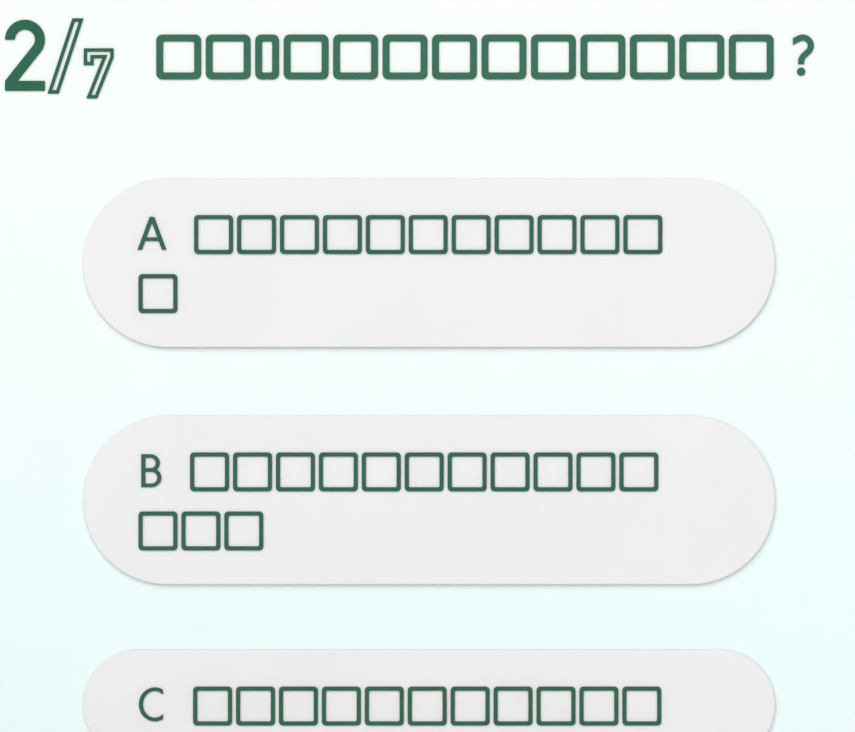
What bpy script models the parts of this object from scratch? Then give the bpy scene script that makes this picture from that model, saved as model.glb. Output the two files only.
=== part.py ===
"""Free-standing quiz board.

An upright panel stands in the groove of a flat base. At the top it carries a page counter, a heading row
and a question mark. Below them are three raised answer plates with round ends, screwed on from behind,
each with its option letter and its rows of blank squares.

Units are metres. +Z is up, the board faces -Y, and the origin is under the middle of the base.
Every flat piece is drawn as the reader sees it, x to the right and y up, and its front looks along -Y.
"""

import math

import bmesh
import bpy

TOUCHING_GAP = 0.0003  # left between pieces that touch

# Panel and base
PANEL_WIDTH = 0.460
PANEL_TOP = 0.450
PANEL_THICKNESS = 0.015
PANEL_CORNER = 0.020
PANEL_EDGE = 0.0015
BASE_WIDTH = 0.300
BASE_DEPTH = 0.120
BASE_HEIGHT = 0.020
BASE_CORNER = 0.016
BASE_EDGE = 0.002
GROOVE_DEPTH = 0.010

# Answer plates
PLATE_WIDTH = 0.346
PLATE_THICKNESS = 0.003
PLATE_EDGE = 0.0005
ONE_LINE_HEIGHT = 0.055
LINE_PITCH = 0.0295  # from one row to the next, and what each further row adds to a plate's height

# Everything green is cut from sheet of one thickness
SHEET_THICKNESS = 0.0008
SHEET_EDGE = 0.0002

# Blank squares
ANSWER_SIDE = 0.0195
ANSWER_SQUARE_GAP = 0.00195
ANSWER_STROKE = 0.0021
ANSWER_CORNER = 0.0020
HEADING_SIDE = 0.0225
HEADING_NARROW = 0.0120
HEADING_SQUARE_GAP = 0.00225
HEADING_STROKE = 0.0035
HEADING_CORNER = 0.0030
OPENING_CORNER = 0.0008
LINK_HEIGHT = 0.0010  # the bridges that keep a row of squares one piece
ROW_DROP = 0.0006  # rows sit this far below the middle of their line
WRAPPED_ROW_LEFT = -0.1452  # a second row starts under the letter

# Each answer: its letter, its plate's upper edge, where the letter and the first row start, squares by row
ANSWERS = (
    ("a", 0.3467, -0.1457, -0.1174, (11, 1)),
    ("b", 0.2281, -0.1438, -0.1194, (11, 3)),
    ("c", 0.1111, -0.1450, -0.1179, (11,)),
)

# Option letters
LETTER_HEIGHT = 0.0165
LETTER_STEM = 0.0021
LETTER_BAR = 0.00185

# Heading: the squares' widths, and where each piece's left edge and bottom are
HEADING_WIDTHS = (HEADING_SIDE,) * 2 + (HEADING_NARROW,) + (HEADING_SIDE,) * 10
HEADING_LEFT = -0.1365
HEADING_BOTTOM = 0.3963
TWO_LEFT = -0.2122
TWO_BOTTOM = 0.3906
SLASH_LEFT = -0.1909
SLASH_BOTTOM = 0.3892
SEVEN_LEFT = -0.1728
SEVEN_BOTTOM = 0.3868
QUESTION_LEFT = 0.1821
QUESTION_BOTTOM = 0.3981
FIGURE_STROKE = 0.0050
OUTLINE_STROKE = 0.0017  # the slash and the seven are drawn by their outline

# Screws that hold the plates, through the panel from behind
SCREW_OFFSET = 0.130
SHANK_RADIUS = 0.0020
SCREW_HOLD = 0.0015  # length inside the plate
HEAD_RADIUS = 0.0038
HEAD_HEIGHT = 0.0022
HEAD_RECESS = 0.0030  # depth of the counterbore
SOCKET_APOTHEM = 0.00125
SOCKET_DEPTH = 0.0013
SCREW_SIDES = 18
CUTTER_REACH = 0.005  # how far a cutter passes the faces that it opens

ARC_STEP = math.radians(5)  # one facet of a large arc
SQUARE_ARC_STEP = math.radians(45)  # one facet of a square's small corners
SMOOTH_UP_TO = math.radians(35)  # facets that meet at less than this are shaded as one surface
FACE_FORWARD = (math.pi / 2, 0, 0)  # stands a piece up, so that its front looks along -Y
FACE_BACK = (-math.pi / 2, 0, 0)  # turns a screw's head to the back of the board

PANEL_FRONT = -PANEL_THICKNESS / 2
PLATE_BACK = PANEL_FRONT - TOUCHING_GAP
PLATE_FRONT = PLATE_BACK - PLATE_THICKNESS


def linear(red, green, blue):
    """A screen colour, 0 to 255, as the linear values that a shader takes."""
    return [
        v / 12.92 if v <= 0.04045 else ((v + 0.055) / 1.055) ** 2.4
        for v in (red / 255, green / 255, blue / 255)
    ]


def make_material(name, colour, roughness, metallic=0.0):
    material = bpy.data.materials.new(name)
    material.use_nodes = True
    shader = material.node_tree.nodes["Principled BSDF"]
    shader.inputs["Base Color"].default_value = (*colour, 1.0)
    shader.inputs["Roughness"].default_value = roughness
    shader.inputs["Metallic"].default_value = metallic
    return material


def arc(centre, radii, start, end, step=ARC_STEP):
    """Points of an elliptical arc from one angle to another, both ends included, angles in degrees."""
    start, end = math.radians(start), math.radians(end)
    count = max(1, math.ceil(abs(end - start) / step))
    angles = [start + (end - start) * i / count for i in range(count + 1)]
    return [(centre[0] + radii[0] * math.cos(a), centre[1] + radii[1] * math.sin(a)) for a in angles]


def rounded_box(left, bottom, width, height, corner, step=ARC_STEP):
    """A rectangle with round corners, counter-clockwise from its lower left corner."""
    points = []
    for quarter, (across, up) in enumerate(((0, 0), (1, 0), (1, 1), (0, 1))):
        centre = (
            left + corner + across * (width - 2 * corner),
            bottom + corner + up * (height - 2 * corner),
        )
        start = 180 + 90 * quarter
        points += arc(centre, (corner, corner), start, start + 90, step)
    return without_repeats(points)


def without_repeats(points):
    """The points without any that lies on the one before it, as where two quarters make a half circle."""
    same = 1e-7
    return [p for p, before in zip(points, points[-1:] + points[:-1]) if math.dist(p, before) > same]


def moved_in(loop, distance):
    """A closed outline moved to its left by distance, with mitred corners."""
    moved = []
    for before, here, after in zip(loop[-1:] + loop[:-1], loop, loop[1:] + loop[:1]):
        moved.append(mitre(before, here, after, distance))
    return moved


def mitre(before, here, after, distance):
    """Where the two edges that meet at here cross, once both are moved to their left by distance."""
    first, second = unit(before, here), unit(here, after)
    turn = 1 + first[0] * second[0] + first[1] * second[1]
    across = (-first[1] - second[1], first[0] + second[0])
    return (here[0] + across[0] * distance / turn, here[1] + across[1] * distance / turn)


def unit(start, end):
    length = math.dist(start, end)
    return ((end[0] - start[0]) / length, (end[1] - start[1]) / length)


def opening(loop):
    """An outline as a hole: it runs clockwise, so that the material is on its left."""
    return loop[::-1]


def rim_profile(thickness, back_edge, front_edge, steps):
    """How far in and how high each ring of a flat piece lies, from its back to its front.

    back_edge and front_edge are the radii that ease its rims.
    """
    turns = [math.pi / 2 * i / steps for i in range(steps + 1)]
    back, front = [(0.0, 0.0)], [(0.0, thickness)]
    if back_edge:
        back = [(back_edge * (1 - math.sin(a)), back_edge * (1 - math.cos(a))) for a in turns]
    if front_edge:
        front = [(front_edge * (1 - math.cos(a)), thickness - front_edge * (1 - math.sin(a))) for a in turns]
    return back + front


def flat_piece(name, loops, thickness, material, front_edge=0.0, back_edge=0.0, edge_steps=1):
    """A flat solid with its back at z 0. loops holds its outline and then its openings."""
    shape = bmesh.new()
    back_rim, front_rim = [], []
    for loop in loops:
        rings = []
        for inward, height in rim_profile(thickness, back_edge, front_edge, edge_steps):
            rings.append([shape.verts.new((x, y, height)) for x, y in moved_in(loop, inward)])
        join_rings(shape, rings)
        back_rim += ring_edges(shape, rings[0])
        front_rim += ring_edges(shape, rings[-1])
    bmesh.ops.triangle_fill(shape, edges=back_rim, use_beauty=True)
    bmesh.ops.triangle_fill(shape, edges=front_rim, use_beauty=True)
    return finished(name, shape, material)


def join_rings(shape, rings):
    """Faces between each ring of points and the next."""
    for lower, upper in zip(rings, rings[1:]):
        for i, vertex in enumerate(lower):
            shape.faces.new((lower[i - 1], vertex, upper[i], upper[i - 1]))


def ring_edges(shape, ring):
    return [shape.edges.get(pair) for pair in zip(ring, ring[1:] + ring[:1])]


def turned_piece(name, profile, sides, material):
    """A solid of rings about the z axis. profile holds (radius, height, hexagonal) from one end to the other.

    A hexagonal ring's radius is its apothem.
    """
    shape = bmesh.new()
    rings = []
    for radius, height, hexagonal in profile:
        ring = []
        for i in range(sides):
            angle = 2 * math.pi * i / sides
            reach = radius
            if hexagonal:
                reach /= math.cos((angle + math.pi / 6) % (math.pi / 3) - math.pi / 6)
            ring.append(shape.verts.new((reach * math.cos(angle), reach * math.sin(angle), height)))
        rings.append(ring)
    join_rings(shape, rings)
    shape.faces.new(rings[0])
    shape.faces.new(rings[-1])
    return finished(name, shape, material)


def finished(name, shape, material):
    """The object of a closed bmesh, with its faces pointing out and its round parts shaded smooth."""
    bmesh.ops.recalc_face_normals(shape, faces=shape.faces)
    mesh = bpy.data.meshes.new(name)
    shape.to_mesh(mesh)
    shape.free()
    mesh.shade_smooth()
    mesh.set_sharp_from_angle(angle=SMOOTH_UP_TO)
    piece = bpy.data.objects.new(name, mesh)
    bpy.context.scene.collection.objects.link(piece)
    if material:
        mesh.materials.append(material)
    return piece


def placed(piece, parent, x, y, z, rotation=FACE_FORWARD):
    """Puts a piece at a place measured from its parent."""
    piece.parent = parent
    piece.location = (x, y, z)
    piece.rotation_euler = rotation
    return piece


def group(name, parent=None, location=(0, 0, 0)):
    """An empty that carries the pieces of one part of the board."""
    empty = bpy.data.objects.new(name, None)
    empty.empty_display_size = 0.02
    bpy.context.scene.collection.objects.link(empty)
    empty.parent = parent
    empty.location = location
    return empty


def cut(piece, cutter):
    """Takes cutter, an object or a collection of them, out of piece."""
    modifier = piece.modifiers.new("cut", "BOOLEAN")
    modifier.operation = "DIFFERENCE"
    if isinstance(cutter, bpy.types.Collection):
        modifier.operand_type = "COLLECTION"
        modifier.collection = cutter
    else:
        modifier.object = cutter


def as_cutter(piece):
    piece.hide_render = True
    piece.display_type = "WIRE"
    return piece


def letter_a_loops():
    width, apex, foot, bar_bottom = 0.0145, 0.0023, 0.00225, 0.00445
    bar_top = bar_bottom + LETTER_BAR
    lean = (width - apex) / 2 / LETTER_HEIGHT  # how far a leg moves in for each metre up
    outline = [
        (0, 0),
        (foot, 0),
        (foot + lean * bar_bottom, bar_bottom),
        (width - foot - lean * bar_bottom, bar_bottom),
        (width - foot, 0),
        (width, 0),
        ((width + apex) / 2, LETTER_HEIGHT),
        ((width - apex) / 2, LETTER_HEIGHT),
    ]
    counter = [
        (foot + lean * bar_top, bar_top),
        (width - foot - lean * bar_top, bar_top),
        (width / 2, (width / 2 - foot) / lean),
    ]
    return [outline, opening(counter)]


def letter_b_loops():
    upper_right, lower_right = 0.0093, 0.0101
    upper_counter = 0.0051  # its height; the lower one takes what the three bars leave
    waist = (0.0069, 0.0087)
    upper_arc_end, lower_arc_end = -38, 60
    lower_counter = LETTER_HEIGHT - 3 * LETTER_BAR - upper_counter
    bowls = []
    for right, low, counter in (
        (lower_right, LETTER_BAR, lower_counter),
        (upper_right, 2 * LETTER_BAR + lower_counter, upper_counter),
    ):
        radius = counter / 2
        middle = (right - LETTER_STEM - radius, low + radius)
        outer_radii = (radius + LETTER_STEM, radius + LETTER_BAR)
        inside = [(LETTER_STEM, low + counter), (LETTER_STEM, low)]
        inside += arc(middle, (radius, radius), -90, 90)
        bowls.append((middle, outer_radii, inside))
    (lower_middle, lower_radii, lower_inside), (upper_middle, upper_radii, upper_inside) = bowls
    outline = [(0, 0), *arc(lower_middle, lower_radii, -90, lower_arc_end), waist]
    outline += [*arc(upper_middle, upper_radii, upper_arc_end, 90), (0, LETTER_HEIGHT)]
    return [outline, opening(lower_inside), opening(upper_inside)]


def letter_c_loops():
    half_width, half_height, cut_at = 0.0080, 0.0085, 0.00405
    middle = (half_width, half_height)
    inner = (half_width - LETTER_STEM, half_height - LETTER_BAR)
    outer_end = math.degrees(math.acos(cut_at / half_width))
    inner_end = math.degrees(math.acos(cut_at / inner[0]))
    outside = arc(middle, (half_width, half_height), outer_end, 360 - outer_end)
    inside = arc(middle, inner, inner_end, 360 - inner_end)
    return [outside + inside[::-1]]


def two_loops():
    width, height, stroke = 0.0200, 0.0356, FIGURE_STROKE
    outer = width / 2
    inner = outer - stroke
    middle = (outer, height - outer)
    # The left side of the slanting stroke runs from the bar's top left corner and just touches the inner arc.
    rise = middle[1] - stroke
    slant = math.atan2(rise, middle[0]) - math.asin(inner / math.hypot(middle[0], rise))
    leave = math.degrees(slant) - 90
    outer_arc = arc(middle, (outer, outer), leave, 180)
    inner_arc = arc(middle, (inner, inner), 180, leave)
    start = outer_arc[0]
    inner_corner = (start[0] - (start[1] - stroke) / math.tan(slant), stroke)
    bar = [(0, 0), (width, 0), (width, stroke), inner_corner]
    return [bar + outer_arc + inner_arc + [(0, stroke)]]


def slash_loops():
    width, height, lean = 0.0056, 0.0377, 0.0124
    outline = [(0, 0), (width, 0), (width + lean, height), (lean, height)]
    return [outline, opening(moved_in(outline, OUTLINE_STROKE))]


def seven_loops():
    width, height, flag, shoulder = 0.0150, 0.0251, 0.0085, 0.0045
    foot_left, foot_width = 0.0013, 0.0055
    foot_right = foot_left + foot_width
    lean = (width - foot_right) / (height - shoulder)
    under_bar = height - FIGURE_STROKE
    outline = [
        (foot_left, 0),
        (foot_right, 0),
        (width, height - shoulder),
        (width, height),
        (0, height),
        (0, height - flag),
        (FIGURE_STROKE, height - flag),
        (FIGURE_STROKE, under_bar),
        (foot_left + lean * under_bar, under_bar),
    ]
    return [outline, opening(moved_in(outline, OUTLINE_STROKE))]


def question_hook_loops():
    stroke, radius, start, end = 0.0031, 0.00405, 117, -48
    middle = (0.0049, 0.0151)
    neck, neck_bottom, neck_radius = 0.0041, 0.0058, 0.0046
    crown = arc(middle, (radius, radius), start, end)
    # The tail leaves the crown straight, then bends down into the neck.
    down_left = (math.sin(math.radians(end)), -math.cos(math.radians(end)))
    bend_x = neck + neck_radius * (1 + down_left[1])
    bend_y = crown[-1][1] + (bend_x - crown[-1][0]) * down_left[1] / down_left[0]
    bend_middle = (neck + neck_radius, bend_y + neck_radius * down_left[0])
    bend = arc(bend_middle, (neck_radius, neck_radius), 180 + end, 180)
    slope = (math.sin(math.radians(start)), -math.cos(math.radians(start)))
    tip = (0.0, crown[0][1] - crown[0][0] * slope[1] / slope[0])
    path = [tip, *crown, *bend, (neck, neck_bottom)]
    sides = []
    for distance in (-stroke / 2, stroke / 2):
        side = [mitre(a, b, c, distance) for a, b, c in zip(path, path[1:], path[2:])]
        # The tip is cut upright, and the neck square.
        first = (0.0, side[0][1] - side[0][0] * slope[1] / slope[0])
        last = (neck + distance, neck_bottom)
        sides.append([first, *side, last])
    lower, upper = sides
    return [lower + upper[::-1]]


def question_dot_loops():
    middle_x, radius, step = 0.0041, 0.0021, math.radians(18)
    return [arc((middle_x, radius), (radius, radius), 0, 360, step)[:-1]]


def row_loops(widths, side, gap, stroke, corner):
    """A row of square frames side by side, joined by short links half way up."""
    low_link, high_link = (side - LINK_HEIGHT) / 2, (side + LINK_HEIGHT) / 2
    under, over, openings = [], [], []
    left = 0.0
    for number, width in enumerate(widths, 1):
        frame = rounded_box(left, 0, width, side, corner, SQUARE_ARC_STEP)
        under += frame[: len(frame) // 2]
        over = frame[len(frame) // 2 :] + over
        across, up = width - 2 * stroke, side - 2 * stroke
        inside = rounded_box(left + stroke, stroke, across, up, OPENING_CORNER, SQUARE_ARC_STEP)
        openings.append(opening(inside))
        right = left + width
        left = right + gap
        if number < len(widths):
            under += [(right, low_link), (left, low_link)]
            over = [(left, high_link), (right, high_link)] + over
    return [under + over] + openings


def add_panel(board, material, drills):
    bottom = BASE_HEIGHT - GROOVE_DEPTH + TOUCHING_GAP
    outline = rounded_box(-PANEL_WIDTH / 2, 0, PANEL_WIDTH, PANEL_TOP - bottom, PANEL_CORNER)
    panel = flat_piece("panel", [outline], PANEL_THICKNESS, material, PANEL_EDGE, PANEL_EDGE, 3)
    placed(panel, board, 0, PANEL_THICKNESS / 2, bottom)
    cut(panel, drills)


def add_base(board, material):
    outline = rounded_box(-BASE_WIDTH / 2, -BASE_DEPTH / 2, BASE_WIDTH, BASE_DEPTH, BASE_CORNER)
    base = flat_piece("stand_base", [outline], BASE_HEIGHT, material, BASE_EDGE, 0.0, 3)
    placed(base, board, 0, 0, 0, (0, 0, 0))
    along, across = BASE_WIDTH / 2 + CUTTER_REACH, PANEL_THICKNESS / 2 + TOUCHING_GAP
    groove = [(-along, -across), (along, -across), (along, across), (-along, across)]
    cutter = as_cutter(flat_piece("groove_cutter", [groove], GROOVE_DEPTH + CUTTER_REACH, None))
    placed(cutter, board, 0, 0, BASE_HEIGHT - GROOVE_DEPTH, (0, 0, 0))
    cut(base, cutter)


def screw_mesh(material):
    """A button head screw along z, its head's seat at z 0 and its shank below."""
    length = PANEL_THICKNESS - HEAD_RECESS + TOUCHING_GAP * 2 + SCREW_HOLD
    chamfer = 0.0005
    dome = [(HEAD_RADIUS * r, HEAD_HEIGHT * h, False) for r, h in ((1, 0), (1, 0.2), (0.9, 0.6), (0.68, 1))]
    profile = [(SHANK_RADIUS - chamfer, -length, False), (SHANK_RADIUS, chamfer - length, False)]
    profile += [(SHANK_RADIUS, 0, False), *dome]
    profile += [(SOCKET_APOTHEM, HEAD_HEIGHT, True), (SOCKET_APOTHEM, HEAD_HEIGHT - SOCKET_DEPTH, True)]
    piece = turned_piece("screw", profile, SCREW_SIDES, material)
    mesh = piece.data
    bpy.data.objects.remove(piece)
    return mesh


def add_drill(drills, parent, name, x):
    """What a screw needs cut away: its shank's hole, into the plate, and its head's counterbore."""
    hole, seat = SHANK_RADIUS + TOUCHING_GAP, HEAD_RADIUS + 2 * TOUCHING_GAP
    depth = PANEL_THICKNESS - HEAD_RECESS + 2 * TOUCHING_GAP + SCREW_HOLD
    past_back = HEAD_RECESS + CUTTER_REACH
    profile = [(hole, -depth, False), (hole, 0, False), (seat, 0, False), (seat, past_back, False)]
    drill = as_cutter(turned_piece(name, profile, SCREW_SIDES, None))
    placed(drill, parent, x, PANEL_THICKNESS / 2 - HEAD_RECESS, 0, FACE_BACK)
    bpy.context.scene.collection.objects.unlink(drill)
    drills.objects.link(drill)


def add_screw(mesh, parent, name, x):
    screw = bpy.data.objects.new(name, mesh)
    bpy.context.scene.collection.objects.link(screw)
    placed(screw, parent, x, PANEL_THICKNESS / 2 - HEAD_RECESS + TOUCHING_GAP, 0, FACE_BACK)


def add_answer(board, answer, letter_loops, materials, drills, screw):
    """One answer: its plate, letter, rows of squares and two screws, carried by an empty at its middle."""
    letter, top, letter_left, row_left, squares = answer
    name = f"answer_{letter}"
    height = ONE_LINE_HEIGHT + LINE_PITCH * (len(squares) - 1)
    first_line = LINE_PITCH * (len(squares) - 1) / 2
    middle = group(name, board, (0, 0, top - height / 2))

    outline = rounded_box(-PLATE_WIDTH / 2, -height / 2, PLATE_WIDTH, height, height / 2)
    plate = flat_piece(f"{name}_plate", [outline], PLATE_THICKNESS, materials["plate"], PLATE_EDGE, 0.0, 2)
    placed(plate, middle, 0, PLATE_BACK, 0)
    cut(plate, drills)

    on_plate = PLATE_FRONT - TOUCHING_GAP
    sheet = {"thickness": SHEET_THICKNESS, "material": materials["green"]}
    glyph = flat_piece(f"{name}_letter", letter_loops, front_edge=SHEET_EDGE, **sheet)
    placed(glyph, middle, letter_left, on_plate, first_line - LETTER_HEIGHT / 2)

    for number, count in enumerate(squares, 1):
        widths = (ANSWER_SIDE,) * count
        loops = row_loops(widths, ANSWER_SIDE, ANSWER_SQUARE_GAP, ANSWER_STROKE, ANSWER_CORNER)
        row = flat_piece(f"{name}_row_{number}", loops, **sheet)
        left = row_left if number == 1 else WRAPPED_ROW_LEFT
        line = first_line - LINE_PITCH * (number - 1) - ROW_DROP
        placed(row, middle, left, on_plate, line - ANSWER_SIDE / 2)

    for side, x in (("left", -SCREW_OFFSET), ("right", SCREW_OFFSET)):
        add_drill(drills, middle, f"{name}_drill_{side}", x)
        add_screw(screw, middle, f"{name}_screw_{side}", x)


def add_heading(board, material):
    """The page counter, the heading's squares and the question mark, all on the panel."""
    on_panel = PANEL_FRONT - TOUCHING_GAP
    heading = group("heading", board)
    sheet = {"thickness": SHEET_THICKNESS, "material": material}
    for name, loops, left, bottom in (
        ("counter_two", two_loops(), TWO_LEFT, TWO_BOTTOM),
        ("counter_slash", slash_loops(), SLASH_LEFT, SLASH_BOTTOM),
        ("counter_seven", seven_loops(), SEVEN_LEFT, SEVEN_BOTTOM),
        ("question_hook", question_hook_loops(), QUESTION_LEFT, QUESTION_BOTTOM),
        ("question_dot", question_dot_loops(), QUESTION_LEFT, QUESTION_BOTTOM),
    ):
        piece = flat_piece(name, loops, front_edge=SHEET_EDGE, **sheet)
        placed(piece, heading, left, on_panel, bottom)
    loops = row_loops(HEADING_WIDTHS, HEADING_SIDE, HEADING_SQUARE_GAP, HEADING_STROKE, HEADING_CORNER)
    row = flat_piece("heading_row", loops, **sheet)
    placed(row, heading, HEADING_LEFT, on_panel, HEADING_BOTTOM)


def main():
    for old in list(bpy.data.objects):
        bpy.data.objects.remove(old)

    materials = {
        "panel": make_material("panel_lacquer", linear(245, 254, 253), 0.42),
        "plate": make_material("plate_acrylic", linear(241, 241, 241), 0.38),
        "green": make_material("green_sheet", linear(57, 110, 86), 0.45),
        "steel": make_material("screw_steel", linear(196, 198, 200), 0.28, 1.0),
        "base": make_material("base_beech", linear(226, 200, 164), 0.5),
    }
    drills = bpy.data.collections.new("drills")
    bpy.context.scene.collection.children.link(drills)
    drills.hide_render = True

    board = group("quiz_board")
    add_base(board, materials["base"])
    add_panel(board, materials["panel"], drills)
    add_heading(board, materials["green"])
    screw = screw_mesh(materials["steel"])
    for answer, loops in zip(ANSWERS, (letter_a_loops(), letter_b_loops(), letter_c_loops())):
        add_answer(board, answer, loops, materials, drills, screw)


main()
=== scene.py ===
"""Looks of the free-standing quiz board.

Finely eased pieces take the place of most of the solids. The letters, the counter's figures and the question
mark keep theirs. The camera stands square to the board's front, as in the picture. Units are metres, in the
frame of the solids: +Z is up and the board faces -Y. All but the screws are built in place, so a point of the
surface is a point of the frame.
"""

import math

import bmesh
import bpy
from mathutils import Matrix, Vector


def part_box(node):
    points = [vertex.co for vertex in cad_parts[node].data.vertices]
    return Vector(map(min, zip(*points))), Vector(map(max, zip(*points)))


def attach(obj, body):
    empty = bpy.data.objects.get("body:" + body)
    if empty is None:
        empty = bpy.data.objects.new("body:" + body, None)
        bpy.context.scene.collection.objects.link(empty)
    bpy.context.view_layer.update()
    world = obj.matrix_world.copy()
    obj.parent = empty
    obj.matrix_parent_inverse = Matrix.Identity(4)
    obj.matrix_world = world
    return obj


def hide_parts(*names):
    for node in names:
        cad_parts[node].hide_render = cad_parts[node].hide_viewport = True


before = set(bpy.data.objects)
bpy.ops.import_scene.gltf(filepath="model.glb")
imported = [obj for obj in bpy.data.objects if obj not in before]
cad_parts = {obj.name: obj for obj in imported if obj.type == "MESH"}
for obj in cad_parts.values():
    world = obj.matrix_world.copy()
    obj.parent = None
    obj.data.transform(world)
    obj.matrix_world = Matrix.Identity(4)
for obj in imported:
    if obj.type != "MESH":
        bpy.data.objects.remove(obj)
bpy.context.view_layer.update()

# The picture: its width in pixels, the width of a pixel on the board, and the place of the picture's middle
PICTURE_WIDTH = 855
PIXEL = 0.0005
PICTURE_MIDDLE = Vector((-0.00075, -0.0100, 0.2529))
LENS = 200.0  # millimetres, as is the sensor
SENSOR = 36.0
CAMERA_REACH = (0.01, 50.0)

# Corners and eased edges, and how many steps each quarter turn of them has
PANEL_CORNER, PANEL_CORNER_STEPS = 0.020, 24
PANEL_EDGE, PANEL_EDGE_STEPS = 0.0015, 6
PLATE_END_STEPS = 48
PLATE_EDGE, PLATE_EDGE_STEPS = 0.0005, 5
SHEET_EDGE, SHEET_EDGE_STEPS = 0.0002, 3
BASE_CORNER, BASE_CORNER_STEPS = 0.016, 20
BASE_EDGE, BASE_EDGE_STEPS = 0.002, 6
GROOVE_EDGE, GROOVE_EDGE_STEPS = 0.0004, 3
GROOVE_SLACK = 0.0003  # the room on each side of the panel's foot
EASED_FROM = math.radians(40)  # edges of the base that turn by more than this are eased as the groove's are
HOLD = 0.0002  # a narrow flat band inside an eased rim, which keeps the rim's shading off the flat face
SMOOTH_UP_TO = math.radians(35)  # faces that meet at less than this are shaded as one surface

# Screws and the bores that they sit in
HEAD_RECESS = 0.0030
HEAD_HEIGHT = 0.0022
SEAT_RADIUS = 0.0044
BORE_RADIUS = 0.0023
SHANK_RADIUS = 0.0020
SHANK_END_CHAMFER = 0.0005
PLATE_BORE_DEPTH = 0.0018
SOCKET_APOTHEM = 0.00125
SOCKET_DEPTH = 0.0013
SOCKET_LIP = 0.00015
CROWN_STEPS = 8
CROWN_FLAT = 0.6  # share of the head's radius that is flat on top
CROWN_SIDE = 0.25  # share of the head's height that is upright at its side
ROUND_SIDES = 48

# Blank squares
ANSWER_GAP = 0.00195
ANSWER_STROKE = 0.0021
ANSWER_CORNER = 0.0020
HEADING_GAP = 0.00225
HEADING_STROKE = 0.0035
HEADING_CORNER = 0.0030
HEADING_NARROW = 0.0120
NARROW_AFTER = 2  # the heading's narrow blank follows this many squares
OPENING_CORNER = 0.0008
SQUARE_CORNER_STEPS = 6

ANSWERS = "abc"
ANSWER_ROWS = (2, 2, 1)  # the rows of squares on each answer's plate
FIGURES = ("counter_two", "counter_slash", "counter_seven", "question_hook", "question_dot")

# The heights between which the panel turns from mint to white
MINT_BELOW, WHITE_ABOVE = 0.1615, 0.436

ACRYLIC_IOR = 1.49
GREEN_GLOSS = 0.011  # what the green sheet throws back without taking its colour, as a share of white

# The light on the board's front makes a surface this much brighter than its own colour.
FRONT_LIGHT = 1.11

# Broad, even lights from far off: name, azimuth, elevation and spread in degrees, and strength.
# Azimuth 0 is in front of the board, and 90 is on the reader's right.
LIGHTS = (
    ("key", -10, 22, 60, 1.95),
    ("back", 140, 28, 60, 1.5),
    ("above", 180, 66, 40, 0.6),
)
ROOM_AT_HORIZON, ROOM_OVERHEAD = 0.675, 0.34
ROOM_FADE_END = 0.6  # the sine of the elevation from which the room is as dim as overhead
FLOOR_REACH = 12.0


def linear(red, green, blue):
    """A screen colour, 0 to 255, as the linear values that a shader takes."""
    return [
        v / 12.92 if v <= 0.04045 else ((v + 0.055) / 1.055) ** 2.4
        for v in (red / 255, green / 255, blue / 255)
    ]


def paint(red, green, blue):
    """A screen colour, 0 to 255, as a shader's colour socket takes it."""
    return (*linear(red, green, blue), 1.0)


def own(red, green, blue, gain=1.0, gloss=0.0):
    """The surface colour that shows as this screen colour under the light on the board's front.

    gain makes it lighter or darker. gloss is what the surface throws back without taking its colour, as a
    share of white.
    """
    return (*(min(1.0, v * gain / FRONT_LIGHT - gloss) for v in linear(red, green, blue)), 1.0)


# Shapes. Outlines are lists of (x, z), counter-clockwise as the reader sees them.


def arc(centre, radius, start, end, steps):
    """Points of an arc, both ends included, angles in degrees."""
    angles = [math.radians(start + (end - start) * i / steps) for i in range(steps + 1)]
    return [(centre[0] + radius * math.cos(a), centre[1] + radius * math.sin(a)) for a in angles]


def rounded_box(low, high, corner, steps):
    """A rectangle with round corners. Corners of half its height give it half-round ends."""
    points = []
    for quarter, (across, up) in enumerate(((0, 0), (1, 0), (1, 1), (0, 1))):
        centre = (
            (low[0] + corner, high[0] - corner)[across],
            (low[1] + corner, high[1] - corner)[up],
        )
        points += arc(centre, corner, 180 + 90 * quarter, 270 + 90 * quarter, steps)
    same = 1e-7
    return [p for p, before in zip(points, points[-1:] + points[:-1]) if math.dist(p, before) > same]


def circle(centre, radius):
    return arc(centre, radius, 0, 360, ROUND_SIDES)[:-1]


def moved_in(loop, distance):
    """A closed outline moved to its left by distance, with mitred corners."""
    moved = []
    for before, here, after in zip(loop[-1:] + loop[:-1], loop, loop[1:] + loop[:1]):
        first = Vector(here) - Vector(before)
        second = Vector(after) - Vector(here)
        first.normalize()
        second.normalize()
        across = Vector((-first.y - second.y, first.x + second.x))
        moved.append(tuple(Vector(here) + across * (distance / (1 + first.dot(second)))))
    return moved


def rim_profile(thickness, back_edge, front_edge, steps):
    """(how far in, how high, whether on the rim) of each ring of a slab, from its back to its front."""
    return half_profile(back_edge, steps) + [
        (inward, thickness - height, rim) for inward, height, rim in reversed(half_profile(front_edge, steps))
    ]


def half_profile(edge, steps):
    """The rings of one rim, from the flat face round the eased edge to the side."""
    if not edge:
        return [(0.0, 0.0, 0.0)]
    turns = [math.pi / 2 * i / steps for i in range(steps + 1)]
    rings = [(edge * (1 - math.sin(a)), edge * (1 - math.cos(a)), 1.0) for a in turns]
    return [(edge + HOLD, 0.0, 0.0), *rings, (0.0, edge + HOLD, 0.0)]


def join_rings(shape, rings):
    """Faces between each ring of points and the next."""
    for lower, upper in zip(rings, rings[1:]):
        for i, vertex in enumerate(lower):
            shape.faces.new((lower[i - 1], vertex, upper[i], upper[i - 1]))


def close_ends(shape, rings):
    """Flat faces across the first ring and the last."""
    shape.faces.new(rings[0])
    shape.faces.new(rings[-1])


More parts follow.
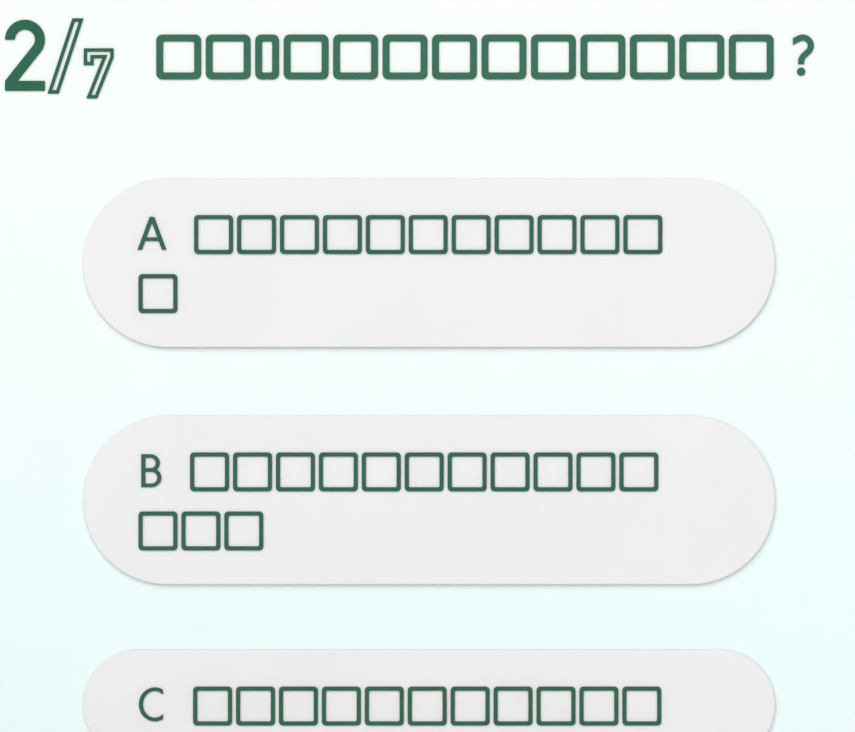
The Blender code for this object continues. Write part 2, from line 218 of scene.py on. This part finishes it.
def as_mesh(name, shape):
    """The mesh of a closed bmesh, with its faces pointing out. The bmesh is used up."""
    bmesh.ops.recalc_face_normals(shape, faces=shape.faces)
    mesh = bpy.data.meshes.new(name)
    shape.to_mesh(mesh)
    shape.free()
    return mesh


def new_object(name, data):
    thing = bpy.data.objects.new(name, data)
    bpy.context.scene.collection.objects.link(thing)
    return thing


class Slab:
    """A flat piece under way. Heights are from its back face towards the reader."""

    def __init__(self, back, thickness):
        self.back = back
        self.thickness = thickness
        self.shape = bmesh.new()
        self.rim = self.shape.verts.layers.float.new("rim")
        self.back_edges = []
        self.front_edges = []

    def ring(self, outline, height, rim=0.0):
        ring = []
        for x, z in outline:
            vertex = self.shape.verts.new((x, self.back - height, z))
            vertex[self.rim] = rim
            ring.append(vertex)
        return ring

    def edges(self, ring):
        return [self.shape.edges.get(pair) for pair in zip(ring, ring[1:] + ring[:1])]

    def wall(self, outline, steps, front_edge, back_edge=0.0):
        """The side along an outline, or along an opening whose outline runs clockwise."""
        profile = rim_profile(self.thickness, back_edge, front_edge, steps)
        rings = [self.ring(moved_in(outline, inward), height, rim) for inward, height, rim in profile]
        join_rings(self.shape, rings)
        self.back_edges += self.edges(rings[0])
        self.front_edges += self.edges(rings[-1])

    def bore(self, centre, profile):
        """A round hole from the back. profile holds (radius, height); one that stops short gets a floor."""
        rings = [self.ring(circle(centre, radius), height) for radius, height in profile]
        join_rings(self.shape, rings)
        self.back_edges += self.edges(rings[0])
        if profile[-1][1] < self.thickness:
            self.shape.faces.new(rings[-1])
        else:
            self.front_edges += self.edges(rings[-1])

    def fill(self):
        """Closes the back and the front between all the outlines so far."""
        for edges in (self.back_edges, self.front_edges):
            bmesh.ops.triangle_fill(self.shape, edges=edges, use_beauty=True)
        self.back_edges, self.front_edges = [], []


def mounted(name, mesh, material, node, location=(0, 0, 0)):
    """A piece on the board, in the place of node."""
    mesh.shade_smooth()
    mesh.set_sharp_from_angle(angle=SMOOTH_UP_TO)
    if not mesh.materials:
        mesh.materials.append(material)
    piece = new_object(name, mesh)
    piece.location = location
    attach(piece, "root")
    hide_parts(node)
    return piece


def screw_places(answers=ANSWERS):
    """The middle of each screw that holds the plates of these answers, by the screw's name."""
    places = {}
    for answer in answers:
        for hand in ("left", "right"):
            name = f"answer_{answer}_screw_{hand}"
            low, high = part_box(name)
            places[name] = (low + high) / 2
    return places


def add_panel(material):
    low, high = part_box("panel")
    thickness = high.y - low.y
    slab = Slab(high.y, thickness)
    outline = rounded_box((low.x, low.z), (high.x, high.z), PANEL_CORNER, PANEL_CORNER_STEPS)
    slab.wall(outline, PANEL_EDGE_STEPS, PANEL_EDGE, PANEL_EDGE)
    head_seat = [(SEAT_RADIUS, 0.0), (SEAT_RADIUS, HEAD_RECESS)]
    shank_hole = [(BORE_RADIUS, HEAD_RECESS), (BORE_RADIUS, thickness)]
    for middle in screw_places().values():
        slab.bore((middle.x, middle.z), head_seat + shank_hole)
    slab.fill()
    name = "lacquered_panel"
    mounted(name, as_mesh(name, slab.shape), material, "panel")


def add_plate(answer, material):
    name, node = f"acrylic_plate_{answer}", f"answer_{answer}_plate"
    low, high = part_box(node)
    slab = Slab(high.y, high.y - low.y)
    outline = rounded_box((low.x, low.z), (high.x, high.z), (high.z - low.z) / 2, PLATE_END_STEPS)
    slab.wall(outline, PLATE_EDGE_STEPS, PLATE_EDGE)
    shank_hole = [(BORE_RADIUS, 0.0), (BORE_RADIUS, PLATE_BORE_DEPTH)]
    for middle in screw_places(answer).values():
        slab.bore((middle.x, middle.z), shank_hole)
    slab.fill()
    mounted(name, as_mesh(name, slab.shape), material, node)


def add_squares(name, node, widths, gap, stroke, corner, material):
    """The separate squares of one row, each a frame cut from sheet."""
    low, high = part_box(node)
    slab = Slab(high.y, high.y - low.y)
    left = low.x
    for width in widths:
        outside = rounded_box((left, low.z), (left + width, high.z), corner, SQUARE_CORNER_STEPS)
        slab.wall(outside, SHEET_EDGE_STEPS, SHEET_EDGE)
        inner_low, inner_high = (left + stroke, low.z + stroke), (left + width - stroke, high.z - stroke)
        inside = rounded_box(inner_low, inner_high, OPENING_CORNER, SQUARE_CORNER_STEPS)
        slab.wall(inside[::-1], SHEET_EDGE_STEPS, SHEET_EDGE)
        slab.fill()
        left += width + gap
    mounted(name, as_mesh(name, slab.shape), material, node)


def add_answer_squares(answer, row, material):
    node = f"answer_{answer}_row_{row}"
    low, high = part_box(node)
    side = high.z - low.z
    count = round((high.x - low.x + ANSWER_GAP) / (side + ANSWER_GAP))
    name = f"answer_{answer}_squares_{row}"
    add_squares(name, node, [side] * count, ANSWER_GAP, ANSWER_STROKE, ANSWER_CORNER, material)


def add_heading_squares(material):
    low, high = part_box("heading_row")
    side = high.z - low.z
    full = round((high.x - low.x - HEADING_NARROW) / (side + HEADING_GAP))
    widths = [side] * NARROW_AFTER + [HEADING_NARROW] + [side] * (full - NARROW_AFTER)
    add_squares(
        "heading_squares", "heading_row", widths, HEADING_GAP, HEADING_STROKE, HEADING_CORNER, material
    )


def screw_shape():
    """A button head screw about its own y axis, its head's top at y 0 and its shank towards the reader."""
    low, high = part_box("answer_a_screw_left")
    head_radius = (high.x - low.x) / 2
    length = high.y - low.y
    # Each ring's radius, its height, and whether it is hexagonal
    profile = [(SHANK_RADIUS - SHANK_END_CHAMFER, -length, False)]
    profile += [(SHANK_RADIUS, SHANK_END_CHAMFER - length, False), (SHANK_RADIUS, -HEAD_HEIGHT, False)]
    profile += [(head_radius, -HEAD_HEIGHT, False)]
    for i in range(CROWN_STEPS + 1):
        turn = math.pi / 2 * i / CROWN_STEPS
        reach = CROWN_FLAT + (1 - CROWN_FLAT) * math.cos(turn)
        rise = CROWN_SIDE + (1 - CROWN_SIDE) * math.sin(turn)
        profile.append((head_radius * reach, HEAD_HEIGHT * (rise - 1), False))
    profile += [(SOCKET_APOTHEM + SOCKET_LIP, 0.0, True), (SOCKET_APOTHEM, -SOCKET_LIP, True)]
    profile += [(SOCKET_APOTHEM, -SOCKET_DEPTH, True)]
    shape = bmesh.new()
    rings = []
    for radius, height, hexagonal in profile:
        ring = []
        for i in range(ROUND_SIDES):
            angle = 2 * math.pi * i / ROUND_SIDES
            reach = radius
            if hexagonal:
                reach /= math.cos((angle + math.pi / 6) % (math.pi / 3) - math.pi / 6)
            ring.append(shape.verts.new((reach * math.cos(angle), height, reach * math.sin(angle))))
        rings.append(ring)
    join_rings(shape, rings)
    close_ends(shape, rings)
    return as_mesh("button_head_screw", shape)


def add_screws(material):
    mesh = screw_shape()
    for node, middle in screw_places().items():
        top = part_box(node)[1].y
        name = node.replace("answer", "steel")
        mounted(name, mesh, material, node, (middle.x, top, middle.z))


def base_blank():
    """The base before its groove is cut: a slab with round corners and an eased top."""
    low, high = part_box("stand_base")
    shape = bmesh.new()
    outline = rounded_box((low.x, low.y), (high.x, high.y), BASE_CORNER, BASE_CORNER_STEPS)
    rings = []
    for inward, height, _ in rim_profile(high.z - low.z, 0.0, BASE_EDGE, BASE_EDGE_STEPS):
        rings.append([shape.verts.new((x, y, low.z + height)) for x, y in moved_in(outline, inward)])
    join_rings(shape, rings)
    close_ends(shape, rings)
    return new_object("base_blank", as_mesh("base_blank", shape))


def groove_cutter():
    """The room that the panel's foot needs in the base. It reaches beyond the base's ends and top."""
    low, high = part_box("stand_base")
    panel_low, panel_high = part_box("panel")
    beyond = 0.005
    floor = panel_low.z - GROOVE_SLACK
    width = high.x - low.x + 2 * beyond
    depth = panel_high.y - panel_low.y + 2 * GROOVE_SLACK
    height = high.z + beyond - floor
    shape = bmesh.new()
    bmesh.ops.create_cube(shape, size=1.0)
    bmesh.ops.scale(shape, vec=(width, depth, height), verts=shape.verts)
    bmesh.ops.translate(shape, vec=(0, 0, floor + height / 2), verts=shape.verts)
    return new_object("groove", as_mesh("groove", shape))


def add_base(material):
    """The beech base, grooved along its middle. The groove's edges and the underside's are eased alike."""
    blank, cutter = base_blank(), groove_cutter()
    cut = blank.modifiers.new("cut", "BOOLEAN")
    cut.operation = "DIFFERENCE"
    cut.object = cutter
    ease = blank.modifiers.new("ease", "BEVEL")
    ease.width = GROOVE_EDGE
    ease.segments = GROOVE_EDGE_STEPS
    ease.limit_method = "ANGLE"
    ease.angle_limit = EASED_FROM
    bpy.context.view_layer.update()
    made = bpy.data.meshes.new_from_object(blank.evaluated_get(bpy.context.evaluated_depsgraph_get()))
    bpy.data.objects.remove(blank)
    bpy.data.objects.remove(cutter)
    made.name = "beech_base"
    mounted("beech_base", made, material, "stand_base")


# Finishes


class Finish:
    """A material's node tree under way, with its Principled shader."""

    def __init__(self, name):
        self.material = bpy.data.materials.new(name)
        self.material.use_nodes = True
        self.tree = self.material.node_tree
        self.shader = self.tree.nodes["Principled BSDF"]
        self.place = self.add("ShaderNodeTexCoord").outputs["Object"]

    def add(self, kind, inputs=None, **settings):
        """A new node of this kind. Its settings come first, because some of them change its inputs."""
        node = self.tree.nodes.new(kind)
        for key, value in settings.items():
            setattr(node, key, value)
        for key, value in (inputs or {}).items():
            self.feed(node.inputs[key], value)
        return node

    def feed(self, socket, value):
        """Links another node's output to a socket, or sets the socket's value."""
        if isinstance(value, bpy.types.NodeSocket):
            self.tree.links.new(value, socket)
        else:
            socket.default_value = value

    def set(self, **inputs):
        """Feeds the shader's inputs, named with _ for each space."""
        for key, value in inputs.items():
            self.feed(self.shader.inputs[key.replace("_", " ")], value)

    def math(self, operation, *values):
        return self.add("ShaderNodeMath", dict(enumerate(values)), operation=operation).outputs[0]

    def times(self, first, second):
        return self.math("MULTIPLY", first, second)

    def lowered(self, value, share, mask):
        """value, lower by this share of itself where the mask is 1."""
        return self.times(value, self.math("SUBTRACT", 1.0, self.times(mask, share)))

    def reach(self, first, second):
        """How far a point lies from an axis, from how far it lies along the other two."""
        return self.math("SQRT", self.math("ADD", self.times(first, first), self.times(second, second)))

    def stretched(self, scale):
        """The place, stretched by another factor along each axis."""
        return self.add("ShaderNodeMapping", {"Vector": self.place, "Scale": scale}).outputs[0]

    def noise(self, scale, detail, place=None):
        inputs = {"Vector": place or self.place, "Scale": scale, "Detail": detail}
        return self.add("ShaderNodeTexNoise", inputs).outputs[0]

    def spread(self, value, low, high, to_low=0.0, to_high=1.0):
        """value from low to high becomes to_low to to_high, held at both ends."""
        inputs = {"Value": value, "From Min": low, "From Max": high, "To Min": to_low, "To Max": to_high}
        return self.add("ShaderNodeMapRange", inputs).outputs[0]

    def blend(self, factor, first, second):
        """A colour between two others. A mix node's colours are its inputs 6 and 7 and its output 2."""
        return self.add("ShaderNodeMix", {0: factor, 6: first, 7: second}, data_type="RGBA").outputs[2]

    def bump(self, height, strength, distance, below=None):
        inputs = {"Height": height, "Strength": strength, "Distance": distance}
        if below:
            inputs["Normal"] = below
        return self.add("ShaderNodeBump", inputs).outputs[0]

    def facing(self, axis, low, high):
        """0 to 1 as the cosine between a face's normal and an axis, either way, goes from low to high.

        Axes 0, 1 and 2 are x, y and z.
        """
        normal = self.add("ShaderNodeNewGeometry").outputs["Normal"]
        along = self.add("ShaderNodeSeparateXYZ", {0: normal}).outputs[axis]
        return self.spread(self.math("ABSOLUTE", along), low, high)

    def side_mask(self):
        """1 on faces that look sideways, 0 on faces that look at the reader or away."""
        return self.facing(1, 0.55, 0.35)

    def rim_mask(self):
        """1 on a slab's eased edges, 0 elsewhere."""
        return self.add("ShaderNodeAttribute", attribute_name="rim").outputs["Fac"]


def panel_finish():
    """Satin lacquer on fibreboard, white above and pale mint below, a little rubbed at its rim. The two tones
    also carry painted light: darker high on the board, lighter low on it.
    """
    finish = Finish("satin_lacquer")
    # The white above and the mint below are the lacquer's own two tones. The white is also set a little
    # darker and the mint a little lighter: painted shade high on the board and painted light low on it, which
    # even out the light that falls stronger on the top.
    mint, white, rubbed = own(239.5, 254.5, 254.5), own(248, 252, 250), own(214, 219, 216)
    height = finish.add("ShaderNodeSeparateXYZ", {0: finish.place}).outputs[2]
    ground = finish.blend(finish.spread(height, MINT_BELOW, WHITE_ABOVE), mint, white)
    cloud = finish.spread(finish.noise(9.0, 3.0), 0.35, 0.65, 0.0, 0.5)
    shade = finish.blend(0.012, ground, (0, 0, 0, 1))
    ground = finish.blend(cloud, ground, shade)
    rub = finish.times(finish.rim_mask(), finish.spread(finish.noise(260.0, 6.0), 0.52, 0.70))
    ground = finish.blend(finish.times(rub, 0.16), ground, rubbed)
    roughness = finish.spread(finish.noise(35.0, 4.0), 0.3, 0.7, 0.36, 0.46)
    peel = finish.bump(finish.noise(420.0, 1.5), strength=0.12, distance=0.00004)
    fibres = finish.times(finish.noise(1600.0, 2.0), finish.side_mask())
    surface = finish.bump(fibres, strength=0.25, distance=0.00005, below=peel)
    finish.set(Base_Color=ground, Roughness=roughness, Normal=surface)
    finish.set(Coat_Weight=0.15, Coat_Roughness=0.2)
    return finish.material


def plate_finish():
    """Pale grey acrylic with an etched face and a flame-polished rim. The rim's darker grey is painted shade.
    """
    finish = Finish("etched_acrylic")
    light_grey, dark_grey, rim_shade_grey = own(241, 241, 241), own(239, 239, 240), own(231, 232, 233)
    rim = finish.rim_mask()
    cloud = finish.spread(finish.noise(14.0, 3.0), 0.35, 0.65)
    face = finish.blend(cloud, light_grey, dark_grey)
    # Painted shade: the eased rim is made darker, to offset the light that its rounding catches from above.
    colour = finish.blend(finish.times(rim, 0.5), face, rim_shade_grey)
    etched = finish.spread(finish.noise(70.0, 5.0), 0.3, 0.7, 0.34, 0.44)
    roughness = finish.lowered(etched, 0.6, rim)
    grain = finish.bump(finish.noise(2600.0, 2.0), strength=0.12, distance=0.00002)
    finish.set(Base_Color=colour, Roughness=roughness, Normal=grain, IOR=ACRYLIC_IOR)
    return finish.material


def green_finish(name, red, green, blue):
    """Dark green acrylic sheet, cut by laser: a satin face, and finely streaked cut edges."""
    finish = Finish(name)
    dark, light, edge = (own(red, green, blue, gain, GREEN_GLOSS) for gain in (0.97, 1.04, 0.85))
    side = finish.side_mask()
    cloud = finish.spread(finish.noise(45.0, 4.0), 0.35, 0.65)
    colour = finish.blend(side, finish.blend(cloud, dark, light), edge)
    satin = finish.spread(finish.noise(300.0, 3.0), 0.3, 0.7, 0.38, 0.5)
    roughness = finish.lowered(satin, 0.6, side)
    streaks = finish.times(finish.noise(5000.0, 1.0, finish.stretched((1, 0.03, 1))), side)
    grain = finish.bump(finish.noise(1800.0, 2.0), strength=0.1, distance=0.00002)
    surface = finish.bump(streaks, strength=0.5, distance=0.00004, below=grain)
    finish.set(Base_Color=colour, Roughness=roughness, Normal=surface)
    finish.set(IOR=ACRYLIC_IOR, Specular_IOR_Level=0.08)
    return finish.material


def steel_finish():
    """Turned stainless steel: fine rings about the screw's own axis, and a few dull patches."""
    finish = Finish("turned_steel")
    bright_steel, dull_steel = (0.62, 0.63, 0.65, 1), (0.47, 0.48, 0.5, 1)
    ring_pitch = 0.00012
    x, _, z = finish.add("ShaderNodeSeparateXYZ", {0: finish.place}).outputs
    rings = finish.math("SINE", finish.times(finish.reach(x, z), 2 * math.pi / ring_pitch))
    dull = finish.spread(finish.noise(900.0, 4.0), 0.4, 0.7)
    colour = finish.blend(dull, bright_steel, dull_steel)
    roughness = finish.spread(dull, 0.0, 1.0, 0.24, 0.42)
    surface = finish.bump(rings, strength=0.15, distance=0.00001)
    finish.set(Base_Color=colour, Metallic=1.0, Roughness=roughness, Normal=surface)
    return finish.material


def beech_finish():
    """Oiled beech, its grain along x: growth rings, fibres, and short dark rays."""
    finish = Finish("oiled_beech")
    early_wood, late_wood = paint(232, 209, 177), paint(206, 171, 133)
    streak_brown, fibre_brown = paint(218, 188, 152), paint(196, 160, 122)
    ray_brown, end_grain_brown = paint(158, 117, 82), paint(188, 148, 108)

    # The tree's middle lies along x, below the base and in front of it, and wanders a little.
    to_pith = (0.0, 0.085, 0.11)
    around = finish.add(
        "ShaderNodeVectorMath", {0: finish.stretched((0.35, 1, 1)), 1: to_pith}, operation="ADD"
    ).outputs[0]
    _, y, z = finish.add("ShaderNodeSeparateXYZ", {0: around}).outputs
    reach = finish.reach(y, z)
    for scale, sway in ((5.0, 0.03), (24.0, 0.0035)):
        reach = finish.math("ADD", reach, finish.times(finish.noise(scale, 2.0, around), sway))
    ring_pitch = 0.0036
    year = finish.math("FRACT", finish.math("DIVIDE", reach, ring_pitch))
    late = finish.math("POWER", finish.spread(year, 0.35, 0.97), 1.6)
    wood = finish.blend(finish.times(late, 0.42), early_wood, late_wood)

    streaks = finish.spread(finish.noise(260.0, 3.0, finish.stretched((0.04, 1, 1))), 0.35, 0.7)
    wood = finish.blend(finish.times(streaks, 0.3), wood, streak_brown)
    fibres = finish.spread(finish.noise(1700.0, 2.0, finish.stretched((0.02, 1, 1))), 0.4, 0.66)
    wood = finish.blend(finish.times(fibres, 0.16), wood, fibre_brown)

    lengthwise = finish.stretched((0.2, 1, 1))
    cells = finish.add("ShaderNodeTexVoronoi", {"Vector": lengthwise, "Scale": 1150.0}).outputs["Distance"]
    sparse = finish.spread(finish.noise(520.0, 1.0, lengthwise), 0.47, 0.6)
    end_grain = finish.facing(0, 0.75, 0.97)
    rays = finish.times(finish.spread(cells, 0.36, 0.18), sparse)
    rays = finish.times(rays, finish.spread(end_grain, 0.0, 1.0, 1.0, 0.45))
    wood = finish.blend(finish.times(rays, 0.5), wood, ray_brown)
    # End grain drinks more oil, so it is darker.
    wood = finish.blend(finish.times(end_grain, 0.22), wood, end_grain_brown)
    roughness = finish.spread(streaks, 0.0, 1.0, 0.42, 0.55)
    pores = finish.math("ADD", finish.times(rays, -1.0), finish.times(fibres, -0.5))
    surface = finish.bump(pores, strength=0.35, distance=0.00008)
    finish.set(Base_Color=wood, Roughness=roughness, Normal=surface)
    return finish.material


def floor_finish():
    finish = Finish("pale_floor")
    light_grey, dark_grey = (0.665, 0.665, 0.665, 1), (0.658, 0.658, 0.658, 1)
    cloud = finish.spread(finish.noise(3.0, 3.0), 0.35, 0.65)
    finish.set(Base_Color=finish.blend(cloud, light_grey, dark_grey))
    finish.set(Roughness=0.9, Specular_IOR_Level=0.2)
    return finish.material


# Floor, light and camera


def add_floor(material):
    corners = ((-1, -1), (1, -1), (1, 1), (-1, 1))
    mesh = bpy.data.meshes.new("floor")
    mesh.from_pydata([(FLOOR_REACH * x, FLOOR_REACH * y, 0) for x, y in corners], [], [(0, 1, 2, 3)])
    mesh.materials.append(material)
    new_object("floor", mesh)


def add_soft_light(name, azimuth, elevation, spread, strength):
    """A light that shines on the board from this azimuth and elevation, as wide as its spread."""
    light = bpy.data.lights.new(name, "SUN")
    light.angle = math.radians(spread)
    light.energy = strength
    lamp = new_object(name, light)
    around, up = math.radians(azimuth), math.radians(elevation)
    towards = Vector((math.sin(around) * math.cos(up), -math.cos(around) * math.cos(up), math.sin(up)))
    lamp.rotation_euler = (-towards).to_track_quat("-Z", "Y").to_euler()


def add_room():
    """A plain white room, as bright at the horizon as the floor that meets it, and dimmer overhead."""
    world = bpy.data.worlds.new("soft_room")
    world.use_nodes = True
    tree = world.node_tree
    height = tree.nodes.new("ShaderNodeSeparateXYZ")
    tree.links.new(tree.nodes.new("ShaderNodeTexCoord").outputs["Generated"], height.inputs[0])
    fade = tree.nodes.new("ShaderNodeMapRange")
    tree.links.new(height.outputs[2], fade.inputs["Value"])
    fade.inputs["From Max"].default_value = ROOM_FADE_END
    fade.inputs["To Min"].default_value = ROOM_AT_HORIZON
    fade.inputs["To Max"].default_value = ROOM_OVERHEAD
    background = tree.nodes["Background"]
    background.inputs["Color"].default_value = (1.0, 1.0, 1.0, 1.0)
    tree.links.new(fade.outputs[0], background.inputs["Strength"])
    bpy.context.scene.world = world


def add_camera():
    """Square to the board's front, at the distance where a pixel is as wide as the picture's."""
    camera = bpy.data.cameras.new("camera")
    camera.sensor_width = SENSOR
    camera.lens = LENS
    camera.clip_start, camera.clip_end = CAMERA_REACH
    distance = PICTURE_WIDTH * PIXEL * LENS / SENSOR
    stand = new_object("camera", camera)
    stand.location = PICTURE_MIDDLE + Vector((0, -distance, 0))
    stand.rotation_euler = (math.pi / 2, 0, 0)
    bpy.context.scene.camera = stand


def main():
    counter_green = green_finish("green_counter", 55, 109, 85)
    heading_green = green_finish("green_heading", 66, 115, 93)
    answer_green = green_finish("green_answers", 62, 106, 86)

    add_panel(panel_finish())
    plate = plate_finish()
    for answer in ANSWERS:
        add_plate(answer, plate)
    add_heading_squares(heading_green)
    for answer, rows in zip(ANSWERS, ANSWER_ROWS):
        for row in range(1, rows + 1):
            add_answer_squares(answer, row, answer_green)
    for node in FIGURES:
        green = counter_green if node.startswith("counter") else heading_green
        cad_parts[node].data.materials[0] = green
    for answer in ANSWERS:
        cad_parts[f"answer_{answer}_letter"].data.materials[0] = answer_green
    add_screws(steel_finish())
    add_base(beech_finish())

    add_floor(floor_finish())
    add_room()
    for light in LIGHTS:
        add_soft_light(*light)
    add_camera()
    bpy.context.scene.view_settings.view_transform = "Standard"


main()
